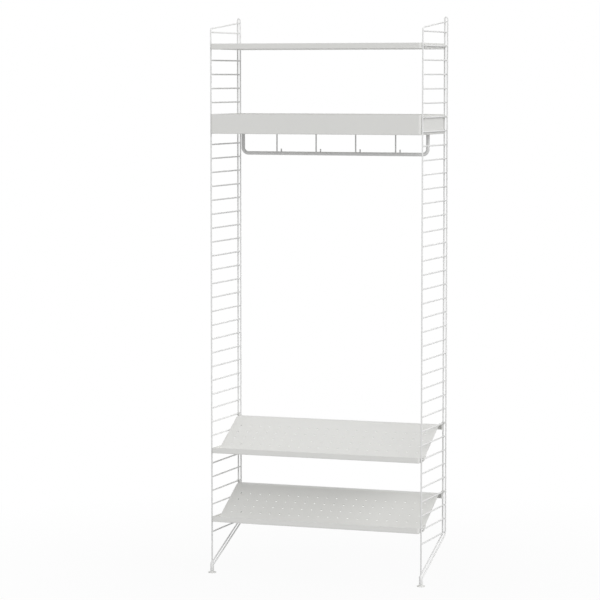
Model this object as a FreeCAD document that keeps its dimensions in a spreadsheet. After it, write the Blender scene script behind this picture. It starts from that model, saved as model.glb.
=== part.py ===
import FreeCAD, Part
import math
import os
import re

import Sketcher

# Hall coat rack: two welded wire ladders that stand on levelling feet and are held to a wall,
# with four folded sheet steel shelves hung between them, a clothes rail and four coat hooks.
# X runs along the wall, Y runs back to the wall and Z runs up from the floor.

doc = FreeCAD.newDocument("HallCoatRack")
sheet = doc.addObject("Spreadsheet::Sheet", "Sizes")

# Driving sizes in millimetres, and two counts
SIZES = [
    # Wire ladders
    ("ladder_spacing", 792.4),
    ("wire_depth", 277),
    ("wire_diameter", 5.3),
    ("ladder_rise", 1800),
    ("rung_count", 37),
    ("lowest_rung_height", 150),
    ("top_wire_front_rise", 12.5),
    ("top_wire_slope_rise", 25),
    ("top_bend_radius", 9),
    ("loop_rise", 56),
    ("rung_end_setback", 1.5),
    ("strut_front_height", 31.3),
    ("strut_corner_drop", 6.5),
    ("strut_bend_radius", 16),
    ("strut_end_setback", 3),
    # Feet
    ("socket_diameter", 13.8),
    ("socket_bottom_height", 7.5),
    ("socket_shoulder_height", 35),
    ("socket_top_height", 41),
    ("socket_rim", 1),
    ("socket_clearance", 0.05),
    ("socket_web", 3),
    ("wire_end_height", 28),
    ("stud_diameter", 6),
    ("stud_top_height", 23),
    ("stud_clearance", 0.1),
    ("stud_seat_height", 1.5),
    ("stud_tip_slant", 1),
    ("pad_diameter", 29),
    ("pad_thickness", 3.5),
    ("pad_boss_diameter", 10),
    ("pad_boss_height", 6),
    ("pad_edge_slant", 1),
    # Folded shelves
    ("sheet_thickness", 1.2),
    ("sheet_bend_radius", 2),
    ("shelf_side_gap", 1.1),
    ("shelf_rear_gap", 6.5),
    ("corner_radius", 7.5),
    ("low_edge_height", 20.5),
    ("high_edge_height", 70),
    ("tray_drop", 11),
    ("strap_width", 10),
    ("strap_lip", 5),
    ("strap_clearance", 0.3),
    ("strap_side_clearance", 0.5),
    ("front_strap_inset", 18),
    ("rear_strap_inset", 2.5),
    ("relief_width", 6),
    ("relief_margin", 8),
    # Sloped shoe shelves
    ("shoe_front_drop", 13.8),
    ("shoe_top_drop", 6.8),
    ("shoe_skirt_drop", 26),
    ("shoe_lip_rise", 8),
    ("shoe_flange_rise", 6),
    ("shoe_front_run", 38),
    ("shoe_top_run", 40.5),
    ("shoe_side_trim", 3.6),
    ("shoe_ear_run", 14),
    # Clothes rail
    ("rail_diameter", 13),
    ("rail_wall", 1.2),
    ("rail_wall_gap", 72),
    ("rail_inset", 40.5),
    ("rail_drop", 73.4),
    ("rail_bend_radius", 20),
    ("plug_length", 14),
    ("plug_clearance", 0.05),
    ("screw_diameter", 5),
    ("screw_length", 12),
    ("screw_head_diameter", 9.5),
    ("screw_head_height", 3),
    ("screw_head_rim", 1.5),
    ("screw_head_crown", 6.4),
    ("screw_socket_width", 3),
    ("screw_socket_depth", 1.8),
    # Coat hooks
    ("hook_wire_diameter", 5),
    ("hook_rail_gap", 15),
    ("hook_pitch", 151),
    ("hook_hole_diameter", 7.4),
    ("hook_arm", 20),
    ("hook_arm_clearance", 0.3),
    ("hook_arm_bend_radius", 4),
    ("hook_drop", 68.5),
    ("hook_bend_radius", 8.5),
    ("hook_tip_length", 11.5),
    ("hook_end_slant", 1),
    # How far a cut runs past what it cuts
    ("overrun", 5),
]

# Counts: the hooks, the rungs from the top one down to each shelf, and those a shoe shelf climbs
HOOK_COUNT = 4
TOP_SHELF_RUNG_COUNT = 1
HAT_SHELF_RUNG_COUNT = 7
UPPER_SHOE_RUNG_COUNT = 30
LOWER_SHOE_RUNG_COUNT = 35
SHOE_CLIMB_COUNT = 2
SIDES = (("left", -1), ("right", 1))

# How close two coordinates must be to count as the same, and the corners of a hexagon in degrees
NEARNESS = 0.005
HEXAGON = (0, 60, 120, 180, 240, 300)

for row, (name, number) in enumerate(SIZES, start=1):
    sheet.set(f"A{row}", name)
    sheet.set(f"B{row}", str(number))
    sheet.setAlias(f"B{row}", name)
doc.recompute()

# Lengths and places worked out from the driving sizes
DERIVED = {
    "wire_radius": "wire_diameter / 2",
    "half_spacing": "ladder_spacing / 2",
    "half_pair": "wire_diameter",
    "front_line": "0 - (wire_depth + wire_radius - pad_diameter / 2) / 2",
    "rear_line": "front_line + wire_depth",
    "rung_pitch": "ladder_rise / (rung_count - 1)",
    "top_rung_height": "lowest_rung_height + ladder_rise",
    "top_wire_front": "top_rung_height + top_wire_front_rise",
    "top_wire_rear": "top_wire_front + top_wire_slope_rise",
    "wire_reach": "wire_depth + wire_radius - rung_end_setback",
    "loop_centre": "top_rung_height + loop_rise - half_pair - wire_radius",
    "strut_corner": "lowest_rung_height - strut_corner_drop",
    "strut_slope": "(strut_corner - strut_front_height) / wire_depth",
    "strut_end_height": "strut_front_height + strut_slope * strut_end_setback",
    "socket_bore_radius": "wire_radius + socket_clearance",
    "stud_bore_radius": "stud_diameter / 2 + stud_clearance",
    "shelf_half": "half_spacing - wire_radius - shelf_side_gap",
    "shelf_depth": "wire_depth - shelf_rear_gap",
    "strap_reach": "half_spacing + wire_radius + strap_side_clearance",
    "strap_under": "wire_radius + strap_clearance",
    "hat_floor": f"top_rung_height - {HAT_SHELF_RUNG_COUNT} * rung_pitch - tray_drop",
    "shoe_rise": f"{SHOE_CLIMB_COUNT} * rung_pitch",
    "shoe_top": "shoe_front_drop + shoe_rise - shoe_top_drop",
    "shoe_skirt_low": "shoe_front_drop + shoe_rise - shoe_skirt_drop",
    "shoe_slope_end": "shelf_depth - shoe_top_run",
    "shoe_slope_rise": "shoe_top - sheet_thickness",
    "shoe_slope_run": "shoe_slope_end - shoe_front_run",
    "shoe_slope": "shoe_slope_rise / shoe_slope_run",
    "shoe_slope_length": "sqrt(shoe_slope_rise * shoe_slope_rise + shoe_slope_run * shoe_slope_run)",
    "shoe_sheet_height": "sheet_thickness * shoe_slope_length / shoe_slope_run",
    "shoe_top_start": "shoe_slope_end - (shoe_sheet_height - sheet_thickness) / shoe_slope",
    "shoe_flange_top": "shoe_front_drop + shoe_flange_rise",
    "shoe_flange_end": "shoe_front_run + (shoe_flange_top - shoe_sheet_height) / shoe_slope",
    "shoe_ear_start": "shelf_depth - shoe_ear_run",
    "rail_half": "shelf_half - rail_inset",
    "rail_setback": "wire_depth - rail_wall_gap",
    "rail_place": "front_line + rail_setback",
    "hook_setback": "rail_setback + hook_rail_gap",
    "hook_place": "front_line + hook_setback",
    "hook_wire_radius": "hook_wire_diameter / 2",
}
ALIASES = {name for name, _ in SIZES}
WORD = re.compile(r"[a-z_]+[a-z]")


def bind(text):
    """The expression with every named size written as its cell of the sheet."""
    def swap(match):
        word = match.group(0)
        if word in ALIASES:
            return f"Sizes.{word}"
        if word in DERIVED:
            return f"({bind(DERIVED[word])})"
        return word
    return WORD.sub(swap, str(text))


def num(text):
    """The value in millimetres of an expression of named sizes."""
    return float(sheet.evalExpression(bind(text)))


def tie(item, **properties):
    """Bind properties of an object to expressions of the sheet's cells."""
    for name, text in properties.items():
        item.setExpression(name.replace("__", "."), bind(text))


def new_body(label, x="0", y="0", z="0"):
    """An empty body whose own origin stands at the given point."""
    body = doc.addObject("PartDesign::Body", label)
    body.Label = label
    tie(body, Placement__Base__x=x, Placement__Base__y=y, Placement__Base__z=z)
    return body


def origin_item(body, role):
    """One of the body's own origin planes or axes."""
    return [item for item in body.Origin.OriginFeatures if item.Role == role][0]


def new_sketch(body, plane, x="0", y="0", z="0"):
    """A sketch on one of the body's origin planes, shifted in that plane and along its normal."""
    sketch = body.newObject("Sketcher::SketchObject", f"{body.Name}_sketch")
    sketch.AttachmentSupport = [(origin_item(body, plane), "")]
    sketch.MapMode = "FlatFace"
    tie(sketch, AttachmentOffset__Base__x=x, AttachmentOffset__Base__y=y, AttachmentOffset__Base__z=z)
    return sketch


def limit(sketch, kind, geometry, text):
    """Add one constraint with a size to a sketch and bind that size."""
    index = sketch.addConstraint(Sketcher.Constraint(kind, *geometry, num(text)))
    sketch.setExpression(f"Constraints[{index}]", bind(text))


def place(sketch, item, end, point):
    """Bind one point of a sketch to a place given as two expressions."""
    limit(sketch, "DistanceX", (-1, 1, item, end), point[0])
    limit(sketch, "DistanceY", (-1, 1, item, end), point[1])


def at(point):
    """A vector in a sketch's plane from two expressions."""
    return FreeCAD.Vector(num(point[0]), num(point[1]), 0)


def add_polygon(sketch, points):
    """A closed outline through bound corners."""
    first = sketch.GeometryCount
    for index, point in enumerate(points):
        following = points[(index + 1) % len(points)]
        sketch.addGeometry(Part.LineSegment(at(point), at(following)), False)
    for index, point in enumerate(points):
        following = first + (index + 1) % len(points)
        sketch.addConstraint(Sketcher.Constraint("Coincident", first + index, 2, following, 1))
        place(sketch, first + index, 1, point)


def add_circle(sketch, centre, diameter):
    """A circle with a bound centre and diameter."""
    circle = Part.Circle(at(centre), FreeCAD.Vector(0, 0, 1), num(diameter) / 2)
    item = sketch.addGeometry(circle, False)
    place(sketch, item, 3, centre)
    limit(sketch, "Diameter", (item,), diameter)


def end_at(sketch, item, point):
    """Which end of a sketch's curve lies at a point."""
    return min((1, 2), key=lambda end: sketch.getPoint(item, end).distanceToPoint(point))


def add_bent_path(sketch, corners, radius):
    """A path through bound corners, each rounded by an arc of the same bound radius."""
    points = [at(corner) for corner in corners]
    size = num(radius)
    bends = []
    for before, corner, after in zip(points, points[1:], points[2:]):
        back = (before - corner).normalize()
        ahead = (after - corner).normalize()
        half_turn = back.getAngle(ahead) / 2
        middle = (back + ahead).normalize()
        reach = size / math.tan(half_turn)
        near = size / math.sin(half_turn) - size
        bends.append((corner + back * reach, corner + middle * near, corner + ahead * reach))
    starts = [points[0]] + [bend[2] for bend in bends]
    ends = [bend[0] for bend in bends] + [points[-1]]
    lines = []
    arcs = []
    for index, (start, end) in enumerate(zip(starts, ends)):
        lines.append(sketch.addGeometry(Part.LineSegment(start, end), False))
        if index < len(bends):
            arcs.append(sketch.addGeometry(Part.Arc(*bends[index]), False))
    for index, arc in enumerate(arcs):
        for line, line_end, point in ((lines[index], 2, bends[index][0]),
                                      (lines[index + 1], 1, bends[index][2])):
            arc_end = end_at(sketch, arc, point)
            sketch.addConstraint(Sketcher.Constraint("Tangent", line, line_end, arc, arc_end))
        limit(sketch, "Radius", (arc,), radius)
        corner = sketch.addGeometry(Part.Point(points[index + 1]), True)
        place(sketch, corner, 1, corners[index + 1])
        sketch.addConstraint(Sketcher.Constraint("PointOnObject", corner, 1, lines[index]))
        sketch.addConstraint(Sketcher.Constraint("PointOnObject", corner, 1, lines[index + 1]))
    place(sketch, lines[0], 1, corners[0])
    place(sketch, lines[-1], 2, corners[-1])


def feature(body, kind, **settings):
    """Add one feature to a body, set it up and make it the body's result."""
    item = body.newObject(f"PartDesign::{kind}", f"{body.Name}_{kind.lower()}")
    for name, value in settings.items():
        setattr(item, name, value)
    body.Tip = item
    return item


def pad(body, sketch, length, back=False):
    """Extrude a sketch along its normal, or against it."""
    item = feature(body, "Pad", Profile=sketch, Reversed=back)
    tie(item, Length=length)
    return item


def cut_through(body, sketch, back=False, both=False):
    """Cut a sketch's outline against its normal, along it, or both ways, through the whole body."""
    item = feature(body, "Pocket", Profile=sketch, Type="ThroughAll", Reversed=back)
    if both:
        item.SideType = "Symmetric"
    return item


def sweep(body, profile, path):
    """Sweep a section along every edge of a path."""
    doc.recompute()
    edges = [f"Edge{index + 1}" for index in range(len(path.Shape.Edges))]
    return feature(body, "AdditivePipe", Profile=profile, Spine=(path, edges))


def revolve(body, sketch, angle, back=False):
    """Turn a sketch about its own upright axis."""
    return feature(body, "Revolution", Profile=sketch, ReferenceAxis=(sketch, ["V_Axis"]),
                   Angle=angle, Reversed=back)


def mirror(body, originals):
    """Repeat features on the other side of the body's middle plane."""
    return feature(body, "Mirrored", Originals=originals,
                   MirrorPlane=(origin_item(body, "YZ_Plane"), [""]))


def pick(shape, kind, test):
    """Names of a shape's edges or faces that pass a test."""
    items = shape.Edges if kind == "Edge" else shape.Faces
    return [f"{kind}{index}" for index, item in enumerate(items, start=1) if test(item)]


def dress_edges(body, kind, test):
    """Add a fillet or a chamfer on the edges of a body that pass a test."""
    doc.recompute()
    base = body.Tip
    return feature(body, kind, Base=(base, pick(base.Shape, "Edge", test)))


def round_edges(body, radius, test):
    """Round the edges of a body that pass a test."""
    tie(dress_edges(body, "Fillet", test), Radius=radius)


def is_near(value, text):
    """Whether a coordinate lies at a place given as an expression."""
    return abs(value - num(text)) < NEARNESS


def box_is_flat(item, axis, text):
    """Whether an edge or face lies wholly in one plane across an axis."""
    box = item.BoundBox
    low, high = {"x": (box.XMin, box.XMax), "y": (box.YMin, box.YMax), "z": (box.ZMin, box.ZMax)}[axis]
    return is_near(low, text) and is_near(high, text)


def make_front_wire(side, sign):
    """Front upright, bent back at the top into the sloping top wire."""
    body = new_body(f"{side}_front_wire", f"{sign} * half_spacing", "front_line")
    path = new_sketch(body, "YZ_Plane")
    add_bent_path(path, [("0", "wire_end_height"), ("0", "top_wire_front"),
                         ("wire_reach", "top_wire_rear")], "top_bend_radius")
    profile = new_sketch(body, "XY_Plane", z="wire_end_height")
    add_circle(profile, ("0", "0"), "wire_diameter")
    sweep(body, profile, path)


def make_rear_wires(side, sign):
    """One wire bent double: a loop at the top, two uprights and two struts down to the front foot."""
    body = new_body(f"{side}_rear_wires", f"{sign} * half_spacing", "rear_line")
    path = new_sketch(body, "YZ_Plane", z="half_pair")
    add_bent_path(path, [("0", "loop_centre"), ("0", "strut_corner"),
                         ("strut_end_setback - wire_depth", "strut_end_height")], "strut_bend_radius")
    profile = new_sketch(body, "XY_Plane", z="loop_centre")
    add_circle(profile, ("half_pair", "0"), "wire_diameter")
    leg = sweep(body, profile, path)
    mirror(body, [leg])
    loop = new_sketch(body, "XY_Plane", z="loop_centre")
    add_circle(loop, ("half_pair", "0"), "wire_diameter")
    revolve(body, loop, 180, back=True)
    saddle = new_sketch(body, "XY_Plane", y="0 - wire_depth")
    add_circle(saddle, ("0", "0"), "socket_diameter")
    cut_through(body, saddle, back=True)


def make_rungs(side, sign):
    """All rungs of one ladder, each saddled to the front wire and held between the rear wires."""
    body = new_body(f"{side}_rungs", f"{sign} * half_spacing", "front_line")
    profile = new_sketch(body, "XZ_Plane")
    add_circle(profile, ("0", "lowest_rung_height"), "wire_diameter")
    rung = pad(body, profile, "wire_reach", back=True)
    rungs = feature(body, "LinearPattern", Originals=[rung], Direction=(origin_item(body, "Z_Axis"), [""]))
    tie(rungs, Length="ladder_rise", Occurrences="rung_count")
    saddle = new_sketch(body, "XY_Plane")
    add_circle(saddle, ("0", "0"), "wire_diameter")
    cut_through(body, saddle, back=True)


def make_foot(side, sign):
    """Foot of one ladder: a socket on the front wire, a threaded stud and a round pad."""
    socket = new_body(f"{side}_foot_socket", f"{sign} * half_spacing", "front_line")
    outline = new_sketch(socket, "XZ_Plane")
    add_polygon(outline, [("stud_bore_radius", "socket_bottom_height"),
                          ("socket_diameter / 2", "socket_bottom_height"),
                          ("socket_diameter / 2", "socket_shoulder_height"),
                          ("socket_bore_radius + socket_rim", "socket_top_height"),
                          ("socket_bore_radius", "socket_top_height"),
                          ("socket_bore_radius", "wire_end_height"),
                          ("0", "wire_end_height"),
                          ("0", "wire_end_height - socket_web"),
                          ("stud_bore_radius", "wire_end_height - socket_web")])
    revolve(socket, outline, 360)

    stud = new_body(f"{side}_foot_stud", f"{sign} * half_spacing", "front_line")
    outline = new_sketch(stud, "XZ_Plane")
    add_polygon(outline, [("0", "stud_seat_height"),
                          ("stud_diameter / 2", "stud_seat_height"),
                          ("stud_diameter / 2", "stud_top_height - stud_tip_slant"),
                          ("stud_diameter / 2 - stud_tip_slant", "stud_top_height"),
                          ("0", "stud_top_height")])
    revolve(stud, outline, 360)

    foot = new_body(f"{side}_foot_pad", f"{sign} * half_spacing", "front_line")
    outline = new_sketch(foot, "XZ_Plane")
    add_polygon(outline, [("0", "0"),
                          ("pad_diameter / 2", "0"),
                          ("pad_diameter / 2", "pad_thickness - pad_edge_slant"),
                          ("pad_diameter / 2 - pad_edge_slant", "pad_thickness"),
                          ("pad_boss_diameter / 2", "pad_thickness"),
                          ("pad_boss_diameter / 2", "pad_boss_height"),
                          ("stud_diameter / 2", "pad_boss_height"),
                          ("stud_diameter / 2", "stud_seat_height"),
                          ("0", "stud_seat_height")])
    revolve(foot, outline, 360)


def tray_blank(body, height):
    """A block with the shelf's outline and rounded front corners, up from the body's origin."""
    outline = new_sketch(body, "XY_Plane")
    add_polygon(outline, [("0 - shelf_half", "0"), ("shelf_half", "0"),
                          ("shelf_half", "shelf_depth"), ("0 - shelf_half", "shelf_depth")])
    pad(body, outline, height)
    round_edges(body, "corner_radius", lambda edge: box_is_flat(edge, "y", "0")
                and edge.BoundBox.ZLength > num("wire_diameter")
                and edge.BoundBox.XLength < num("wire_diameter"))


def hollow_out(body, height):
    """Leave the sheet alone: everything inside it goes, and the top is open."""
    doc.recompute()
    base = body.Tip
    top = pick(base.Shape, "Face", lambda face: box_is_flat(face, "z", height))
    item = feature(body, "Thickness", Base=(base, top), Join="Arc", Reversed=True)
    tie(item, Value="sheet_thickness")


def add_straps(body, front_rung, rear_rung, rear_root):
    """Four straps that rise in the side walls and reach over the rungs, by heights in the body."""
    pads = []
    for rung, root, start in ((front_rung, f"{front_rung} - strap_lip", "front_strap_inset"),
                              (rear_rung, rear_root, "shelf_depth - rear_strap_inset - strap_width")):
        outline = new_sketch(body, "XZ_Plane", z=f"0 - ({start})")
        under = f"{rung} + strap_under"
        over = f"{rung} + strap_under + sheet_thickness"
        low = f"{rung} - strap_lip"
        inside = "shelf_half - sheet_thickness"
        outside = "strap_reach + sheet_thickness"
        add_polygon(outline, [(inside, root), ("shelf_half", root), ("shelf_half", under),
                              ("strap_reach", under), ("strap_reach", low),
                              (outside, low), (outside, over), (inside, over)])
        pads.append(pad(body, outline, "strap_width", back=True))
    mirror(body, pads)
    for rung in sorted({front_rung, rear_rung}):
        over = f"{rung} + strap_under + sheet_thickness"
        round_edges(body, "sheet_thickness", lambda edge: box_is_flat(edge, "z", over)
                    and (box_is_flat(edge, "x", "strap_reach + sheet_thickness")
                         or box_is_flat(edge, "x", "0 - strap_reach - sheet_thickness")))


def cut_relief(body, low, high):
    """A slot in each side wall under the rear strap."""
    slot = new_sketch(body, "YZ_Plane")
    middle = "(shelf_depth - rear_strap_inset - strap_width / 2)"
    left = f"{middle} - relief_width / 2"
    right = f"{middle} + relief_width / 2"
    add_polygon(slot, [(left, low), (right, low), (right, high), (left, high)])
    cut_through(body, slot, both=True)


def make_tray(label, steps, height, hook_height):
    """A flat shelf folded up from one sheet, its floor just under a rung that steps down from the top."""
    body = new_body(label, y="front_line", z=f"top_rung_height - {steps} * rung_pitch - tray_drop")
    tray_blank(body, height)
    round_edges(body, "sheet_bend_radius", lambda edge: box_is_flat(edge, "z", "0"))
    hollow_out(body, height)
    add_straps(body, hook_height, hook_height, f"{hook_height} - strap_lip")
    return body


def make_hat_shelf():
    """The deep tray: it also holds the clothes rail's screws and the coat hooks."""
    body = make_tray("hat_shelf", HAT_SHELF_RUNG_COUNT, "high_edge_height", "(tray_drop + rung_pitch)")
    cut_relief(body, "tray_drop + relief_margin", "tray_drop + rung_pitch")
    holes = new_sketch(body, "XY_Plane")
    for side in ("0 -", ""):
        add_circle(holes, (f"{side} rail_half", "rail_setback"), "screw_diameter + 2 * plug_clearance")
    for index in range(HOOK_COUNT):
        add_circle(holes, (hook_middle(index), "hook_setback"), "hook_hole_diameter")
    cut_through(body, holes, back=True)


def hook_middle(index):
    """Where a coat hook's stem stands along the wall."""
    return f"({index} - ({HOOK_COUNT} - 1) / 2) * hook_pitch"


def make_shoe_shelf(label, steps):
    """A shelf folded from one sheet: a trough, a slope up to the wall and a level top with a skirt."""
    body = new_body(label, y="front_line", z=f"top_rung_height - {steps} * rung_pitch - shoe_front_drop")
    sky = "(shoe_top + overrun)"
    tray_blank(body, sky)
    under = new_sketch(body, "YZ_Plane")
    add_polygon(under, [("shoe_front_run", "0"),
                        ("shoe_front_run", "0 - overrun"),
                        ("shelf_depth + overrun", "0 - overrun"),
                        ("shelf_depth + overrun", "shoe_slope_rise"),
                        ("shoe_slope_end", "shoe_slope_rise")])
    cut_through(body, under, both=True)
    round_edges(body, "sheet_bend_radius", lambda edge: box_is_flat(edge, "z", "0")
                and not box_is_flat(edge, "y", "shoe_front_run"))
    hollow_out(body, sky)
    lip_top = "shoe_front_drop + shoe_lip_rise"
    over = new_sketch(body, "YZ_Plane")
    add_polygon(over, [("0 - overrun", f"{sky} + overrun"),
                       ("0 - overrun", lip_top),
                       ("corner_radius", lip_top),
                       ("corner_radius + sheet_thickness", "shoe_flange_top"),
                       ("shoe_flange_end", "shoe_flange_top"),
                       ("shoe_top_start", "shoe_top"),
                       ("shelf_depth + overrun", "shoe_top"),
                       ("shelf_depth + overrun", f"{sky} + overrun")])
    cut_through(body, over, both=True)
    add_skirt(body)
    add_straps(body, "shoe_front_drop", "(shoe_front_drop + shoe_rise)", "shoe_top - strap_lip")


def add_skirt(body):
    """A wall folded down behind a shoe shelf's top, with an ear forward at each end for a strap."""
    block = new_sketch(body, "YZ_Plane")
    add_polygon(block, [("shoe_ear_start", "shoe_skirt_low"),
                        ("shelf_depth", "shoe_skirt_low"),
                        ("shelf_depth", "shoe_top"),
                        ("shoe_ear_start", "shoe_top")])
    pad(body, block, "2 * shelf_half").SideType = "Symmetric"
    trim = new_sketch(body, "XY_Plane")
    for sign in ("0 -", ""):
        inside = f"{sign} (shelf_half - shoe_side_trim)"
        outside = f"{sign} (shelf_half + overrun)"
        add_polygon(trim, [(inside, "shoe_flange_end"), (outside, "shoe_flange_end"),
                           (outside, "shoe_ear_start"), (inside, "shoe_ear_start")])
    cut_through(body, trim, back=True)
    round_edges(body, "sheet_bend_radius", is_skirt_fold)
    room = new_sketch(body, "YZ_Plane")
    add_polygon(room, [("shoe_ear_start - overrun", "shoe_skirt_low - overrun"),
                       ("shelf_depth - sheet_thickness", "shoe_skirt_low - overrun"),
                       ("shelf_depth - sheet_thickness", "shoe_slope_rise"),
                       ("shoe_ear_start - overrun", "shoe_slope_rise")])
    inside = feature(body, "Pocket", Profile=room, SideType="Symmetric")
    tie(inside, Length="2 * (shelf_half - sheet_thickness)")


def is_skirt_fold(edge):
    """Whether an edge is an outer fold of a shoe shelf's skirt."""
    on_side = box_is_flat(edge, "x", "shelf_half") or box_is_flat(edge, "x", "0 - shelf_half")
    at_rear = box_is_flat(edge, "y", "shelf_depth")
    at_top = box_is_flat(edge, "z", "shoe_top")
    return on_side and (at_rear or at_top) or at_rear and at_top


def make_rail():
    """Clothes rail: a tube with both ends bent up to the hat shelf, plugged and screwed to it."""
    rail = new_body("clothes_rail", y="rail_place", z="hat_floor")
    path = new_sketch(rail, "XZ_Plane")
    add_bent_path(path, [("0 - rail_half", "0"), ("0 - rail_half", "0 - rail_drop"),
                         ("rail_half", "0 - rail_drop"), ("rail_half", "0")], "rail_bend_radius")
    profile = new_sketch(rail, "XY_Plane")
    add_circle(profile, ("0 - rail_half", "0"), "rail_diameter")
    add_circle(profile, ("0 - rail_half", "0"), "rail_diameter - 2 * rail_wall")
    sweep(rail, profile, path)

    plugs = new_body("rail_plugs", y="rail_place", z="hat_floor")
    section = new_sketch(plugs, "XY_Plane")
    for side in ("0 -", ""):
        add_circle(section, (f"{side} rail_half", "0"), "rail_diameter - 2 * (rail_wall + plug_clearance)")
        add_circle(section, (f"{side} rail_half", "0"), "screw_diameter + 2 * plug_clearance")
    pad(plugs, section, "plug_length", back=True)

    screws = new_body("rail_screws", y="rail_place", z="hat_floor + sheet_thickness")
    outline = new_sketch(screws, "XZ_Plane", x="rail_half")
    add_polygon(outline, [("0", "0 - screw_length"),
                          ("screw_diameter / 2", "0 - screw_length"),
                          ("screw_diameter / 2", "0"),
                          ("screw_head_diameter / 2", "0"),
                          ("screw_head_diameter / 2", "screw_head_rim"),
                          ("screw_head_crown / 2", "screw_head_height"),
                          ("0", "screw_head_height")])
    screw = revolve(screws, outline, 360)
    key = new_sketch(screws, "XY_Plane", x="rail_half", z="screw_head_height")
    reach = "screw_socket_width / sqrt(3)"
    add_polygon(key, [(f"{reach} * cos({turn})", f"{reach} * sin({turn})") for turn in HEXAGON])
    socket = feature(screws, "Pocket", Profile=key)
    tie(socket, Length="screw_socket_depth")
    mirror(screws, [screw, socket])


def make_coat_hook(index):
    """One wire hook: an arm that lies on the tray's floor, a stem down behind the rail and a J."""
    body = new_body(f"coat_hook_{index + 1}", hook_middle(index), "hook_place", "hat_floor")
    arm_height = "(sheet_thickness + hook_arm_clearance + hook_wire_radius)"
    path = new_sketch(body, "XZ_Plane")
    add_bent_path(path, [("0", "0 - hook_drop"), ("0", arm_height), ("0 - hook_arm", arm_height)],
                  "hook_arm_bend_radius")
    profile = new_sketch(body, "XY_Plane", z="0 - hook_drop")
    add_circle(profile, ("0", "0"), "hook_wire_diameter")
    sweep(body, profile, path)
    bend = new_sketch(body, "XY_Plane", x="hook_bend_radius", z="0 - hook_drop")
    add_circle(bend, ("0 - hook_bend_radius", "0"), "hook_wire_diameter")
    revolve(body, bend, 180, back=True)
    tip = new_sketch(body, "XY_Plane", x="2 * hook_bend_radius", z="0 - hook_drop")
    add_circle(tip, ("0", "0"), "hook_wire_diameter")
    pad(body, tip, "hook_tip_length")
    tip_top = "hook_tip_length - hook_drop"
    ends = dress_edges(body, "Chamfer", lambda edge: box_is_flat(edge, "z", tip_top)
                       or box_is_flat(edge, "x", "0 - hook_arm"))
    tie(ends, Size="hook_end_slant")


for side, sign in SIDES:
    make_front_wire(side, sign)
    make_rear_wires(side, sign)
    make_rungs(side, sign)
    make_foot(side, sign)
top_shelf = make_tray("top_shelf", TOP_SHELF_RUNG_COUNT, "low_edge_height", "tray_drop")
cut_relief(top_shelf, "tray_drop / 2", "tray_drop")
make_hat_shelf()
make_rail()
for index in range(HOOK_COUNT):
    make_coat_hook(index)
make_shoe_shelf("upper_shoe_shelf", UPPER_SHOE_RUNG_COUNT)
make_shoe_shelf("lower_shoe_shelf", LOWER_SHOE_RUNG_COUNT)
doc.recompute()

for item in doc.Objects:
    if "Invalid" in item.State or "Error" in item.State:
        raise RuntimeError(f"{item.Label} failed: {item.State}")

os.makedirs("parts", exist_ok=True)
for body in doc.findObjects("PartDesign::Body"):
    shape = body.Shape
    if shape.isNull() or not shape.isValid():
        raise RuntimeError(f"{body.Label} has no valid shape")
    shape.exportStep(f"parts/{body.Label}.step")
    box = shape.BoundBox
    print(f"{body.Label}: {len(shape.Solids)} solids, {shape.Volume / 1000:.1f} cm3, "
          f"x {box.XMin:.1f}..{box.XMax:.1f} y {box.YMin:.1f}..{box.YMax:.1f} z {box.ZMin:.1f}..{box.ZMax:.1f}")
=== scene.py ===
import math

import bmesh
import bpy
from bmesh.types import BMEdge, BMVert
from bpy.props import FloatProperty, FloatVectorProperty, IntProperty, PointerProperty
from bpy.types import Operator, Panel, PropertyGroup
from mathutils import Matrix, Vector


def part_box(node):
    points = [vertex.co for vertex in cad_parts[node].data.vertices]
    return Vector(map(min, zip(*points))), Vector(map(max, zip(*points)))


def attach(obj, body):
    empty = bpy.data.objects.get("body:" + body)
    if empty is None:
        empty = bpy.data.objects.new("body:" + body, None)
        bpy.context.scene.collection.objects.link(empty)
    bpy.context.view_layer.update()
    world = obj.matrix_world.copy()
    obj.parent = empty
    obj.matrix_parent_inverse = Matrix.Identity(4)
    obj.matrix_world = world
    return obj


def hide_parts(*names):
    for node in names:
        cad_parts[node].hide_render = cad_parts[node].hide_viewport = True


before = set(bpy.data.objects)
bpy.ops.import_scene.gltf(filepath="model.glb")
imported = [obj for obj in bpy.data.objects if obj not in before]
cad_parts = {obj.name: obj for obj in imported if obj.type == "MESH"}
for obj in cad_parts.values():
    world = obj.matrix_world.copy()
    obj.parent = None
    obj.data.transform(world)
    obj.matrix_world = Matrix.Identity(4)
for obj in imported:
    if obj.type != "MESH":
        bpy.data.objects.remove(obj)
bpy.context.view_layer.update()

# The looks of a hall coat rack: two welded wire ladders on levelling feet, four folded sheet
# steel shelves hung between them, a clothes rail and four wire hooks. All lengths are in metres.

bl_info = {
    "name": "Hall Coat Rack",
    "version": (1, 0, 0),
    "blender": (4, 5, 0),
    "location": "3D View > Sidebar > Hall Rack",
    "description": "Dresses the packed frame of a hall coat rack with painted wire and sheet steel",
    "category": "Add Mesh",
}

X, Y, Z = range(3)
ACROSS = Vector((1, 0, 0))
AHEAD = Vector((0, -1, 0))
UP = Vector((0, 0, 1))
MM = 0.001
MERGE_DISTANCE = MM / 1000
SEAM_DISTANCE = MM / 200
SHORTEST_RUN = MM / 100
SIDES = (("left", -1), ("right", 1))
HOOK_NODES = ("coat_hook_1", "coat_hook_2", "coat_hook_3", "coat_hook_4")


def low(node, axis):
    """Lowest coordinate of a node of the frame."""
    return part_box(node)[0][axis]


def high(node, axis):
    """Highest coordinate of a node of the frame."""
    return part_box(node)[1][axis]


def mid(node, axis):
    """Middle coordinate of a node of the frame."""
    return (low(node, axis) + high(node, axis)) / 2


def half_width(node):
    """Half the width of a node of the frame."""
    return (high(node, X) - low(node, X)) / 2


def length(name, description, default):
    """A length that a user can change."""
    return FloatProperty(name=name, description=description, default=default, min=0,
                         unit="LENGTH", precision=5)


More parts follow.
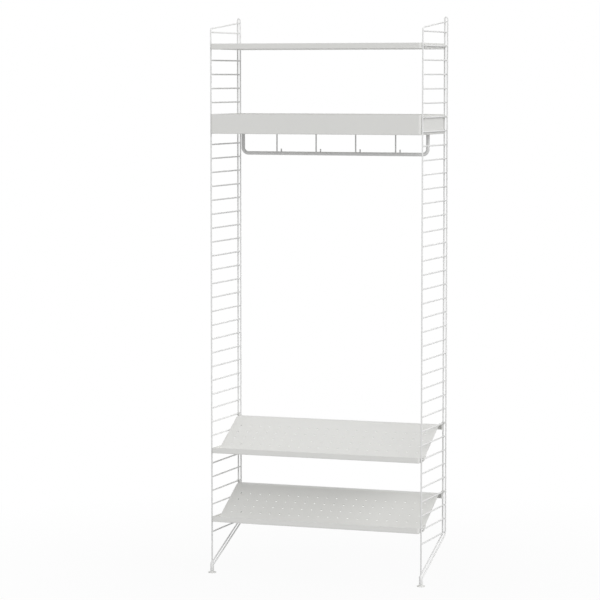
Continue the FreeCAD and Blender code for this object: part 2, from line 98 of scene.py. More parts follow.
def paint_colour(name, description, default):
    """A colour that a user can change."""
    return FloatVectorProperty(name=name, description=description, default=default, size=3,
                               min=0, max=1, subtype="COLOR")


class RackSizes(PropertyGroup):
    """Sizes of the rack's wire, sheet, rail and hooks."""
    wire_diameter: length(
        "Wire diameter", "Thickness of the ladders' wire", 2 * half_width("left_front_wire"))
    rung_count: IntProperty(name="Rungs", description="Rungs of each ladder", default=37, min=2)
    top_wire_rise: length("Top wire rise", "Height of the front bend over the top rung", 0.0125)
    top_wire_slope: length("Top wire slope", "How much the top wire climbs to the wall", 0.025)
    top_bend_radius: length("Top bend radius", "Bend of the front wire at the top", 0.009)
    strut_corner_drop: length("Strut corner drop", "Rear wires' bend below the lowest rung", 0.0065)
    strut_bend_radius: length("Strut bend radius", "Rear wires' bend into the struts", 0.016)
    strut_front_height: length("Strut height", "Height of the struts at the feet", 0.0313)
    strut_setback: length("Strut setback", "How far behind the front wire the struts end", 0.003)
    wire_end_round: length("Wire end rounding", "Rounding of cut wire ends", 0.0006)
    sheet_thickness: length("Sheet thickness", "Thickness of the shelves' steel", 0.0012)
    sheet_bend_radius: length("Sheet bend radius", "Outer radius of the folds", 0.002)
    sheet_edge_round: length("Sheet edge rounding", "Rounding of the painted sheet edges", 0.0003)
    shelf_side_gap: length("Shelf side gap", "Gap between a shelf and the wires beside it", 0.0011)
    corner_radius: length("Corner radius", "Radius of the shelves' front corners", 0.0075)
    shelf_overhang: length("Shelf overhang", "Reach of the shelves past the front wires", 0.014)
    strap_width: length("Strap width", "Width of the straps over the rungs", 0.010)
    strap_lip: length("Strap lip", "How far a strap reaches down past a rung's middle", 0.005)
    strap_clearance: length("Strap clearance", "Gap between a strap and its rung", 0.0003)
    front_strap_inset: length("Front strap inset", "From the front wires to the straps", 0.018)
    rear_strap_inset: length("Rear strap inset", "From the rear edge to the straps", 0.0025)
    relief_width: length("Slot width", "Width of the slot under a rear strap", 0.006)
    hole_diameter: length("Perforation", "Diameter of the holes in the shoe shelves", 0.0056)
    hole_pitch: length("Perforation pitch", "Distance between the holes", 0.0372)
    hole_columns: IntProperty(
        name="Perforation columns", description="Holes across a shoe shelf", default=20, min=1)
    hole_rows: IntProperty(name="Perforation rows", description="Rows of holes", default=4, min=1)
    rail_diameter: length("Rail diameter", "Outer diameter of the clothes rail", 0.013)
    rail_bend_radius: length("Rail bend radius", "Bends of the clothes rail", 0.020)
    hook_wire_diameter: length("Hook wire diameter", "Thickness of the hooks' wire", 0.005)
    hook_bend_radius: length("Hook bend radius", "Radius of the J of a hook", 0.0085)
    hook_arm_bend_radius: length("Hook arm bend radius", "Bend from a hook's stem to arm", 0.004)
    hook_tip_rise: length("Hook tip", "Straight end of a hook over its bend", 0.0115)
    hook_tip_round: length("Hook tip rounding", "Rounding of a hook's ends", 0.0012)


class RackColours(PropertyGroup):
    """Colours of the rack's finishes."""
    paint: paint_colour("Paint", "Powder coat of the shelves", (0.76, 0.76, 0.74))
    # The wire paint is lighter than the shelves' paint: part of it is painted light, a lift that
    # stands in for light the thin wires, the rail and the shaded hooks lack
    wire_paint_with_painted_light: paint_colour("Wire paint", "Powder coat of wires, rail and hooks",
                             (0.82, 0.82, 0.815))
    plastic: paint_colour("Plastic", "Moulded feet and rail plugs", (0.78, 0.78, 0.76))
    zinc: paint_colour("Zinc", "Plated studs and screws", (0.60, 0.61, 0.62))
    floor: paint_colour("Floor", "Pale floor under the rack", (0.5, 0.5, 0.5))


# Places read from the frame
WIRE_RADIUS = half_width("left_front_wire")
HALF_SPACING = mid("right_front_wire", X)
FRONT = mid("right_foot_socket", Y)
REAR = high("right_rear_wires", Y) - WIRE_RADIUS
LOW_RUNG = low("right_rungs", Z) + WIRE_RADIUS
TOP_RUNG = high("right_rungs", Z) - WIRE_RADIUS
RUNG_END = high("right_rungs", Y)
LOOP_TOP = high("right_rear_wires", Z) - WIRE_RADIUS

# The straps: how much thinner than the sheet they are, so that no faces coincide, how far their
# lips stand off the rungs, and the radii of their bends
STRAP_THINNER = 0.00002
STRAP_STANDOFF = 0.0005
STRAP_BENDS = (0.0016, 0.0014)

# How finely round things are divided
WIRE_SIDES = 16
RUNG_SIDES = 14
RAIL_SIDES = 28
HOOK_SIDES = 18
FOOT_SIDES = 48
SCREW_SIDES = 32
DRILL_SIDES = 32
HOLE_SIDES = 16
CORNER_STEPS = 8
FOLD_STEPS = 4
BEND_STEP = math.radians(9)

# Up to which angle an edge is shaded smooth
SMOOTH_ANGLE = math.radians(32)

# How far an upright edge may lean, and how much of a face's normal has to lie along an axis
UPRIGHT_LEAN = 0.001
SQUARE_TO = 0.99
MOSTLY_ALONG = 0.7


# Shaping

def pick(items, kind):
    """The vertices, edges or faces in an operator's result."""
    return [item for item in items if isinstance(item, kind)]


def bevel(bm, geometry, offset, segments, affect="EDGES"):
    """Round edges or corners."""
    return bmesh.ops.bevel(bm, geom=geometry, offset=offset, segments=segments, profile=0.5,
                           affect=affect, material=-1)


def ring_round(bm, place, heading, radius, sides):
    """Edges of a circle across a heading."""
    turn = heading.to_track_quat("Z", "Y").to_matrix().to_4x4()
    made = bmesh.ops.create_circle(bm, cap_ends=False, radius=radius, segments=sides,
                                   matrix=Matrix.Translation(place) @ turn)
    return list({edge for vertex in made["verts"] for edge in vertex.link_edges})


def ring_flat(bm, place, thickness, width, corner):
    """Edges of a flat strip's section, thickness along X and width along Y, with eased corners."""
    matrix = Matrix.Translation(place) @ Matrix.Diagonal((thickness, width, 1, 1))
    made = bmesh.ops.create_grid(bm, x_segments=1, y_segments=1, size=0.5, matrix=matrix)
    eased = bevel(bm, made["verts"], corner, 1, affect="VERTICES")
    faces = list({face for vertex in eased["verts"] for face in vertex.link_faces})
    edges = list({edge for face in faces for edge in face.edges})
    bmesh.ops.delete(bm, geom=faces, context="FACES_ONLY")
    return edges


def draw_out(bm, ring, travel):
    """Extrude a section straight along; its new ring comes back."""
    grown = bmesh.ops.extrude_edge_only(bm, edges=ring)["geom"]
    moved = pick(grown, BMVert)
    bmesh.ops.translate(bm, verts=moved, vec=travel)
    fresh = set(moved)
    return [edge for edge in pick(grown, BMEdge) if set(edge.verts) <= fresh]


def bend_bar(bm, ring, corners, radii):
    """Draw a section through corners in straight runs and bends, as a bending machine does."""
    points = [Vector(corner) for corner in corners]
    spent = 0
    heading = (points[1] - points[0]).normalized()
    for index, corner in enumerate(points[1:], start=1):
        last = index == len(points) - 1
        ahead = heading if last else (points[index + 1] - corner).normalized()
        turn = heading.angle(ahead)
        radius = 0 if last else radii[index - 1]
        reach = radius * math.tan(turn / 2)
        run = (corner - points[index - 1]).length - spent - reach
        if run > SHORTEST_RUN:
            ring = draw_out(bm, ring, heading * run)
        if last:
            break
        axis = heading.cross(ahead).normalized()
        centre = corner - heading * reach + axis.cross(heading) * radius
        spun = bmesh.ops.spin(bm, geom=ring, cent=centre, axis=axis, angle=turn,
                              steps=max(2, round(turn / BEND_STEP)), dvec=(0, 0, 0),
                              use_merge=False, use_duplicate=False)
        ring = pick(spun["geom_last"], BMEdge)
        spent = reach
        heading = ahead
    return ring


def close_ends(bm, rings, rounding, segments=2):
    """Cap the open ends of a bar and round the rims of the caps."""
    rims = []
    for ring in rings:
        cap = bmesh.ops.contextual_create(bm, geom=ring)["faces"][0]
        rims += list(cap.edges)
    if rounding:
        bevel(bm, rims, rounding, segments)


def add_bar(bm, corners, radii, radius, sides, rounding):
    """A round bar or wire bent through corners, with rounded ends."""
    start = Vector(corners[0])
    ring = ring_round(bm, start, (Vector(corners[1]) - start).normalized(), radius, sides)
    end = bend_bar(bm, ring, corners, radii)
    close_ends(bm, (ring, end), rounding)


def add_bead(bm, place, size):
    """A small lump of painted weld."""
    bmesh.ops.create_uvsphere(bm, u_segments=8, v_segments=5, radius=1,
                              matrix=Matrix.Translation(place) @ Matrix.Diagonal((*size, 1)))


def add_turned(bm, outline, place, sides):
    """A solid of revolution about an upright axis from radii and heights."""
    points = [bm.verts.new(Vector(place) + Vector((radius, 0, height)))
              for radius, height in outline]
    edges = [bm.edges.new(pair) for pair in zip(points, points[1:])]
    bmesh.ops.spin(bm, geom=points + edges, cent=place, axis=UP, angle=math.tau, steps=sides,
                   dvec=(0, 0, 0), use_merge=True, use_duplicate=False)


def add_block(bm, lowest, highest):
    """A plain block between two corners."""
    lowest = Vector(lowest)
    size = Vector(highest) - lowest
    matrix = Matrix.Translation(lowest + size / 2) @ Matrix.Diagonal((*size, 1))
    bmesh.ops.create_cube(bm, size=1, matrix=matrix)


def add_drill(bm, place, diameter, depth, sides, tilt=0):
    """A round cutter, leaning back from upright by an angle."""
    matrix = Matrix.Translation(place) @ Matrix.Rotation(tilt, 4, "X")
    bmesh.ops.create_cone(bm, cap_ends=True, segments=sides, radius1=diameter / 2,
                          radius2=diameter / 2, depth=depth, matrix=matrix)


def finish_mesh(bm, name, closed=True):
    """Make an object of a mesh; a closed one has its doubles merged and its faces turned out."""
    if closed:
        bmesh.ops.remove_doubles(bm, verts=bm.verts, dist=MERGE_DISTANCE)
        bmesh.ops.recalc_face_normals(bm, faces=bm.faces)
    mesh = bpy.data.meshes.new(name)
    bm.to_mesh(mesh)
    bm.free()
    mesh.shade_smooth()
    mesh.set_sharp_from_angle(angle=SMOOTH_ANGLE)
    piece = bpy.data.objects.new(name, mesh)
    bpy.context.scene.collection.objects.link(piece)
    return piece


def settle(piece):
    """Turn a piece's modifiers into plain mesh."""
    graph = bpy.context.evaluated_depsgraph_get()
    mesh = bpy.data.meshes.new_from_object(piece.evaluated_get(graph), depsgraph=graph)
    worn = piece.data
    piece.modifiers.clear()
    piece.data = mesh
    mesh.name = piece.name
    bpy.data.meshes.remove(worn)


def combine(piece, tool_mesh, operation):
    """Join a tool's shape to a piece or cut it away."""
    tool = finish_mesh(tool_mesh, f"{piece.name}_tool")
    joint = piece.modifiers.new("combine", "BOOLEAN")
    joint.operation = operation
    joint.solver = "EXACT"
    joint.object = tool
    settle(piece)
    bpy.data.meshes.remove(tool.data)  # the tool goes with its mesh


def crisp(piece):
    """Keep the flat sheet flat in shading and its edges soft."""
    piece.data.shade_smooth()
    piece.data.set_sharp_from_angle(angle=SMOOTH_ANGLE)
    weighted = piece.modifiers.new("weighted", "WEIGHTED_NORMAL")
    weighted.keep_sharp = True
    settle(piece)


def coat(piece, slot):
    """Give a piece the material of a slot."""
    piece.data.materials.clear()
    piece.data.materials.append(finish_of(slot))


def seat(piece, body, slot, *nodes):
    """Give a piece its finish, its body and the nodes it stands for."""
    coat(piece, slot)
    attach(piece, body)
    if nodes:
        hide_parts(*nodes)


# Finishes

class Signal:
    """A value in a material that Python arithmetic carries on with Math nodes."""

    def __init__(self, finish, socket):
        self.finish = finish
        self.socket = socket

    def maths(self, operation, *values):
        """The result of a Math node on values and signals."""
        return self.finish.add("ShaderNodeMath", {"operation": operation}, dict(enumerate(values)))

    def __add__(self, other):
        return self.maths("ADD", self, other)

    def __mul__(self, other):
        return self.maths("MULTIPLY", self, other)

    __radd__ = __add__
    __rmul__ = __mul__


class Finish:
    """The shading of a material or of the world, built node by node."""

    def __init__(self, owner):
        owner.use_nodes = True
        self.owner = owner
        self.tree = owner.node_tree
        self.tree.nodes.clear()

    def add(self, kind, settings=None, sockets=None, output=0):
        """Add a node: its settings first, then the values or links of its sockets."""
        node = self.tree.nodes.new(kind)
        for name, value in (settings or {}).items():
            setattr(node, name, value)
        for key, value in (sockets or {}).items():
            if isinstance(value, Signal):
                self.tree.links.new(value.socket, node.inputs[key])
            else:
                node.inputs[key].default_value = value
        return Signal(self, node.outputs[output]) if node.outputs else None

    def coordinates(self):
        """Object coordinates, in metres."""
        return self.add("ShaderNodeTexCoord", output="Object")

    def noise(self, scale, detail, roughness=0.5, stretch=(1, 1, 1)):
        """Cloudy noise from 0 to 1, its scale in features to the metre."""
        place = self.add("ShaderNodeMapping", None,
                         {"Vector": self.coordinates(), "Scale": stretch})
        return self.add("ShaderNodeTexNoise", None,
                        {"Vector": place, "Scale": scale, "Detail": detail, "Roughness": roughness})

    def blend(self, factor, first, second):
        """A colour between two colours."""
        return self.add("ShaderNodeMix", {"data_type": "RGBA"}, {0: factor, 6: first, 7: second},
                        output=2)

    def bump(self, height, strength, distance):
        """A bumped normal from a height."""
        return self.add("ShaderNodeBump", None,
                        {"Height": height, "Strength": strength, "Distance": distance})

    def close(self, shader, kind="ShaderNodeOutputMaterial"):
        """Send a shader to the output; the finished material or world comes back."""
        self.add(kind, None, {"Surface": shader})
        return self.owner


def tone(colour, share):
    """A colour made darker or lighter, with its alpha."""
    return tuple(min(1, part * share) for part in colour) + (1,)


def powder_coat(finish, colour, peel_scale, gloss):
    """Baked white powder coat: a fine orange peel, slow changes of tone and a satin sheen."""
    darker, lighter = 0.975, 1.02
    cloud = finish.noise(scale=7, detail=3)
    peel = finish.noise(scale=peel_scale, detail=2, roughness=0.6)
    grain = finish.noise(scale=peel_scale * 4, detail=1)
    mottle = cloud * 0.7 + peel * 0.3
    relief = peel * 0.8 + grain * 0.2
    return finish.add("ShaderNodeBsdfPrincipled", None, {
        "Base Color": finish.blend(mottle, tone(colour, darker), tone(colour, lighter)),
        "Roughness": gloss + cloud * 0.08 + peel * 0.06,
        "Normal": finish.bump(relief, strength=0.35, distance=0.00006),
    })


def plating(finish, colour):
    """Zinc plating: small patches of tone and a dull shine."""
    darker, lighter, gloss = 0.85, 1.1, 0.28
    patch = finish.noise(scale=420, detail=3, roughness=0.6)
    scuff = finish.noise(scale=1800, detail=2, stretch=(1, 1, 6))
    return finish.add("ShaderNodeBsdfPrincipled", None, {
        "Base Color": finish.blend(patch, tone(colour, darker), tone(colour, lighter)),
        "Metallic": 1.0,
        "Roughness": gloss + patch * 0.14 + scuff * 0.08,
        "Normal": finish.bump(scuff, strength=0.25, distance=0.00003),
    })


def moulding(finish, colour):
    """Moulded plastic: a fine even spark texture and soft gloss."""
    darker, lighter, gloss = 0.97, 1.01, 0.46
    cloud = finish.noise(scale=60, detail=2)
    spark = finish.noise(scale=2600, detail=2, roughness=0.6)
    return finish.add("ShaderNodeBsdfPrincipled", None, {
        "Base Color": finish.blend(cloud, tone(colour, darker), tone(colour, lighter)),
        "Roughness": gloss + spark * 0.12,
        "Normal": finish.bump(spark, strength=0.3, distance=0.00004),
    })


def finish_of(slot):
    """The material of a slot, made when it is first asked for."""
    name = f"finish_{slot}"
    if name not in bpy.data.materials:
        colours = bpy.context.scene.rack_colours
        # Each slot's maker and colour, and for powder coat its peel's scale and its gloss
        recipes = {
            # wires, rail and hooks take the wire paint, which is lightened with painted light
            "white_wire": (powder_coat, colours.wire_paint_with_painted_light, 900, 0.36),
            "white_sheet": (powder_coat, colours.paint, 620, 0.40),
            "white_rail": (powder_coat, colours.wire_paint_with_painted_light, 700, 0.36),
            "white_hook": (powder_coat, colours.wire_paint_with_painted_light, 900, 0.36),
            "zinc_stud": (plating, colours.zinc),
            "zinc_screw": (plating, colours.zinc),
            "rail_plug": (moulding, colours.plastic),
            "foot_plastic": (moulding, colours.plastic),
        }
        maker, *details = recipes[slot]
        finish = Finish(bpy.data.materials.new(name))
        finish.close(maker(finish, *details))
    return bpy.data.materials[name]


# Pieces

class RACK_OT_ladders(Operator):
    """Bend and weld the two wire ladders"""
    bl_idname = "hall_rack.ladders"
    bl_label = "Wire ladders"

    # Half sizes of the weld beads, and where a foot's lie from its wire at the struts' height
    front_bead = (0.0029, 0.0012, 0.0033)
    rear_bead = (0.0009, 0.0019, 0.0021)
    foot_bead = (0.0018, 0.0016, 0.0034)
    bead_aside, bead_behind, bead_above = 0.0052, 0.0048, 0.002

    def execute(self, context):
        for side, sign in SIDES:
            for build in (self.front_wire, self.rear_wire, self.rungs, self.welds):
                build(side, sign * HALF_SPACING, context.scene.rack_sizes)
        return {"FINISHED"}

    def front_wire(self, side, centre, sizes):
        """The front upright, bent back at the top into the sloping top wire."""
        bm = bmesh.new()
        bend = TOP_RUNG + sizes.top_wire_rise
        add_bar(bm, [(centre, FRONT, low(f"{side}_front_wire", Z)), (centre, FRONT, bend),
                     (centre, RUNG_END, bend + sizes.top_wire_slope)], [sizes.top_bend_radius],
                WIRE_RADIUS, WIRE_SIDES, sizes.wire_end_round)
        piece = finish_mesh(bm, f"{side}_front_upright")
        seat(piece, "ladders", "white_wire", f"{side}_front_wire")

    def rear_wire(self, side, centre, sizes):
        """One long wire bent double: strut, upright, loop, upright and strut."""
        bm = bmesh.new()
        pair = sizes.wire_diameter
        corner = LOW_RUNG - sizes.strut_corner_drop
        end = sizes.strut_front_height
        end += (corner - end) * sizes.strut_setback / (REAR - FRONT)
        left = [(centre - pair, FRONT + sizes.strut_setback, end), (centre - pair, REAR, corner),
                (centre - pair, REAR, LOOP_TOP)]
        right = [(2 * centre - x, y, z) for x, y, z in reversed(left)]
        radii = [sizes.strut_bend_radius, pair, pair, sizes.strut_bend_radius]
        add_bar(bm, left + right, radii, WIRE_RADIUS, WIRE_SIDES, sizes.wire_end_round)
        seat(finish_mesh(bm, f"{side}_rear_loop"), "ladders", "white_wire", f"{side}_rear_wires")

    def rungs(self, side, centre, sizes):
        """The rungs, each from the front wire to just past the rear wires."""
        bm = bmesh.new()
        for height in rung_heights(sizes):
            add_bar(bm, [(centre, FRONT, height), (centre, RUNG_END, height)], [],
                    WIRE_RADIUS, RUNG_SIDES, sizes.wire_end_round)
        seat(finish_mesh(bm, f"{side}_rung_row"), "ladders", "white_wire", f"{side}_rungs")

    def welds(self, side, centre, sizes):
        """A small painted weld wherever two wires cross."""
        bm = bmesh.new()
        slope_height = TOP_RUNG + sizes.top_wire_rise + sizes.top_wire_slope
        for height in rung_heights(sizes):
            add_bead(bm, (centre, FRONT + WIRE_RADIUS, height), self.front_bead)
            for hand in (-1, 1):
                add_bead(bm, (centre + hand * WIRE_RADIUS, REAR, height), self.rear_bead)
        for hand in (-1, 1):
            add_bead(bm, (centre + hand * WIRE_RADIUS, REAR, slope_height), self.rear_bead)
            add_bead(bm, (centre + hand * self.bead_aside, FRONT + self.bead_behind,
                          sizes.strut_front_height + self.bead_above), self.foot_bead)
        seat(finish_mesh(bm, f"{side}_welds"), "ladders", "white_wire")


def rung_heights(sizes):
    """The heights of the rungs from the lowest up."""
    pitch = (TOP_RUNG - LOW_RUNG) / (sizes.rung_count - 1)
    return [LOW_RUNG + index * pitch for index in range(sizes.rung_count)]


class RACK_OT_feet(Operator):
    """Turn the sockets, threaded studs and pads of the feet"""
    bl_idname = "hall_rack.feet"
    bl_label = "Levelling feet"

    # The socket's bore, and its outline by how far in from the outside and up or down, but for
    # the neck by how far out from the wire and down
    bore, bore_depth, bore_rim = 0.0031, 0.017, 0.0004
    lower_rim = ((0.0006, 0), (0.0002, 0.0002), (0, 0.0006))
    shoulder = ((0, 0.0066), (0.0002, 0.0061), (0.0006, 0.0056))
    neck = ((0.0012, 0.0004), (0.0008, 0.0001), (0.0004, 0))

    # The stud's thread, whose tooth is sunk a little in the core
    thread_start, thread_depth, thread_pitch = 0.0065, 0.0005, 0.001
    thread_turns, steps_per_turn = 15, 18
    tooth_base, tooth_crest, tooth_sunk = 0.0004, 0.00008, 0.0002
    stud_chamfer = 0.0008

    # The pad: its rim by how far in from the outside, its hub by how far out from the hub's
    # radius, and the stud's seat by radius, each with its height
    pad_rim = ((0.003, 0.0006), (0.0025, 0), (0.0008, 0), (0.0002, 0.0003), (0, 0.0009),
               (0, 0.0024), (0.0003, 0.0031), (0.0011, 0.0035))
    pad_hub_radius = 0.005
    pad_hub = ((0.0012, 0.0036), (0.0003, 0.0040), (0, 0.0048), (-0.0001, 0.0055), (-0.0006, 0.006))
    stud_seat = ((0.003, 0.006), (0.003, 0.003), (0, 0.003))

    def execute(self, context):
        for side, sign in SIDES:
            for build in (self.socket, self.stud, self.pad):
                build(side, (sign * HALF_SPACING, FRONT, 0))
        return {"FINISHED"}

    def socket(self, side, place):
        """The painted socket with its tapered shoulder round the wire."""
        node = f"{side}_foot_socket"
        radius = half_width(node)
        bottom, top = low(node, Z), high(node, Z)
        bm = bmesh.new()
        add_turned(bm, [(0, bottom + self.bore_depth), (self.bore, bottom + self.bore_depth),
                        (self.bore, bottom + self.bore_rim), (self.bore + self.bore_rim, bottom),
                        *((radius - inset, bottom + rise) for inset, rise in self.lower_rim),
                        *((radius - inset, top - drop) for inset, drop in self.shoulder),
                        *((WIRE_RADIUS + wall, top - drop) for wall, drop in self.neck),
                        (0, top)], place, FOOT_SIDES)
        seat(finish_mesh(bm, f"{side}_foot_ferrule"), "ladders", "white_wire", node)

    def stud(self, side, place):
        """The threaded stud: a core with one helical thread."""
        node = f"{side}_foot_stud"
        bottom, top = low(node, Z), high(node, Z)
        crest = half_width(node)
        root = crest - self.thread_depth
        bm = bmesh.new()
        add_turned(bm, [(0, bottom), (root, bottom), (root, top - self.stud_chamfer),
                        (root - self.stud_chamfer, top), (0, top)], place, FOOT_SIDES // 2)
        start = Vector(place) + UP * self.thread_start
        tooth = [(root - self.tooth_sunk, -self.tooth_base), (crest, -self.tooth_crest),
                 (crest, self.tooth_crest), (root - self.tooth_sunk, self.tooth_base)]
        points = [bm.verts.new(start + Vector((radius, 0, height))) for radius, height in tooth]
        edges = [bm.edges.new(pair) for pair in zip(points, points[1:] + points[:1])]
        ring = bmesh.ops.spin(bm, geom=edges, cent=place, axis=UP,
                              angle=math.tau * self.thread_turns,
                              steps=self.steps_per_turn * self.thread_turns,
                              dvec=(0, 0, self.thread_pitch / self.steps_per_turn),
                              use_merge=False, use_duplicate=False)["geom_last"]
        close_ends(bm, (edges, pick(ring, BMEdge)), 0)
        seat(finish_mesh(bm, f"{side}_foot_thread"), f"{side}_foot", "zinc_stud", node)

    def pad(self, side, place):
        """The moulded pad with its hub."""
        node = f"{side}_foot_pad"
        radius = half_width(node)
        bm = bmesh.new()
        add_turned(bm, [(0, self.pad_rim[0][1]),
                        *((radius - inset, rise) for inset, rise in self.pad_rim),
                        *((self.pad_hub_radius + out, rise) for out, rise in self.pad_hub),
                        *self.stud_seat], place, FOOT_SIDES)
        seat(finish_mesh(bm, f"{side}_foot_disc"), f"{side}_foot", "foot_plastic", node)


def finish_shell(piece, sizes):
    """Give a folded shell its steel thickness and ease its cut edges."""
    wall = piece.modifiers.new("wall", "SOLIDIFY")
    wall.thickness = sizes.sheet_thickness
    wall.offset = -1
    wall.use_even_offset = True
    edge = piece.modifiers.new("edge", "BEVEL")
    edge.width = sizes.sheet_edge_round
    edge.segments = 2
    edge.limit_method = "ANGLE"
    edge.angle_limit = math.radians(55)
    settle(piece)


def shelf_half(sizes):
    """Half the width of a shelf between its side walls' outer faces."""
    return HALF_SPACING - WIRE_RADIUS - sizes.shelf_side_gap


def round_front_corners(bm, front, sizes):
    """Round the upright edges at the front of a shelf."""
    upright = [edge for edge in bm.edges
               if is_upright(edge) and edge.verts[0].co.y < front + MM]
    bevel(bm, upright, sizes.corner_radius, CORNER_STEPS)


def straps(node, sizes, rungs, rear_root):
    """The four straps of a shelf, bent out over the rungs, as a mesh."""
    bm = bmesh.new()
    thickness, middle = sizes.sheet_thickness - STRAP_THINNER, sizes.sheet_thickness / 2
    wall = shelf_half(sizes) - middle
    lip = HALF_SPACING + WIRE_RADIUS + STRAP_STANDOFF + middle
    starts = (low(node, Y) + sizes.front_strap_inset,
              high(node, Y) - sizes.rear_strap_inset - sizes.strap_width)
    roots = (rungs[0] - sizes.strap_lip, rear_root)
    for start, rung, root in zip(starts, rungs, roots):
        along = start + sizes.strap_width / 2
        over = rung + WIRE_RADIUS + sizes.strap_clearance + middle
        for sign in (-1, 1):
            corners = [(sign * wall, along, root), (sign * wall, along, over),
                       (sign * lip, along, over), (sign * lip, along, rung - sizes.strap_lip)]
            ring = ring_flat(bm, corners[0], thickness, sizes.strap_width, sizes.sheet_edge_round)
            end = bend_bar(bm, ring, corners, STRAP_BENDS)
            close_ends(bm, (ring, end), sizes.sheet_edge_round / 2, 1)
    return bm


def finish_shelf(piece, node, strips, cutters):
    """Join the straps to a shelf, cut its openings and seat it."""
    combine(piece, strips, "UNION")
    combine(piece, cutters, "DIFFERENCE")
    crisp(piece)
    seat(piece, node, "white_sheet", node)


class RACK_OT_flat_shelves(Operator):
    """Fold the top shelf and the deep hat shelf"""
    bl_idname = "hall_rack.flat_shelves"
    bl_label = "Flat shelves"

    # Each shelf's node and piece, and how high its rungs and its slots' ends are over its floor
    shelves = (("top_shelf", "top_tray", 0.011, 0.0055, 0.011),
               ("hat_shelf", "hat_tray", 0.061, 0.019, 0.061))
    slot_reach = 0.003
    screw_hole, hook_hole, hole_depth = 0.0051, 0.0074, 0.006

    def execute(self, context):
        sizes = context.scene.rack_sizes
        for node, name, rung_rise, slot_low, slot_high in self.shelves:
            piece = self.tray(node, name, sizes)
            floor = low(node, Z)
            rung = floor + rung_rise
            strips = straps(node, sizes, (rung, rung), rung - sizes.strap_lip)
            cutters = self.slots(node, sizes, floor + slot_low, floor + slot_high)
            if node == "hat_shelf":
                self.drill_floor(cutters, floor)
            finish_shelf(piece, node, strips, cutters)
        return {"FINISHED"}

    def tray(self, node, name, sizes):
        """A tray with rounded front corners and a rounded fold round its floor."""
        half = shelf_half(sizes)
        (_, front, floor), (_, back, top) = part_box(node)
        front -= sizes.shelf_overhang
        bm = bmesh.new()
        add_block(bm, (-half, front, floor), (half, back, top))
        round_front_corners(bm, front, sizes)
        under = [edge for edge in bm.edges
                 if all(vertex.co.z < floor + MM for vertex in edge.verts)]
        bevel(bm, under, sizes.sheet_bend_radius, FOLD_STEPS)
        lids = [face for face in bm.faces if face.calc_center_median().z > top - MM / 10]
        bmesh.ops.delete(bm, geom=lids, context="FACES_ONLY")
        piece = finish_mesh(bm, name)
        finish_shell(piece, sizes)
        return piece

    def slots(self, node, sizes, bottom, top):
        """Cutters for the slots in the side walls under the rear straps."""
        bm = bmesh.new()
        along = high(node, Y) - sizes.rear_strap_inset - sizes.strap_width / 2
        for sign in (-1, 1):
            start = sign * shelf_half(sizes) - self.slot_reach
            add_block(bm, (start, along - sizes.relief_width / 2, bottom),
                      (start + 2 * self.slot_reach, along + sizes.relief_width / 2, top))
        return bm

    def drill_floor(self, bm, floor):
        """Cutters for the screws' and the hooks' holes in the floor."""
        for sign in (-1, 1):
            place = (sign * rail_half(), mid("clothes_rail", Y), floor)
            add_drill(bm, place, self.screw_hole, self.hole_depth, DRILL_SIDES)
        for node in HOOK_NODES:
            place = (hook_stem(node), mid(node, Y), floor)
            add_drill(bm, place, self.hook_hole, self.hole_depth, DRILL_SIDES)


def is_upright(edge):
    """Whether an edge stands straight up."""
    return (edge.verts[0].co - edge.verts[1].co).normalized().cross(UP).length < UPRIGHT_LEAN


def rail_half():
    """Half the distance between the rail's two uprights."""
    return high("clothes_rail", X) - bpy.context.scene.rack_sizes.rail_diameter / 2


def hook_stem(node):
    """Where a hook's stem stands along the wall."""
    sizes = bpy.context.scene.rack_sizes
    return high(node, X) - sizes.hook_wire_diameter / 2 - 2 * sizes.hook_bend_radius


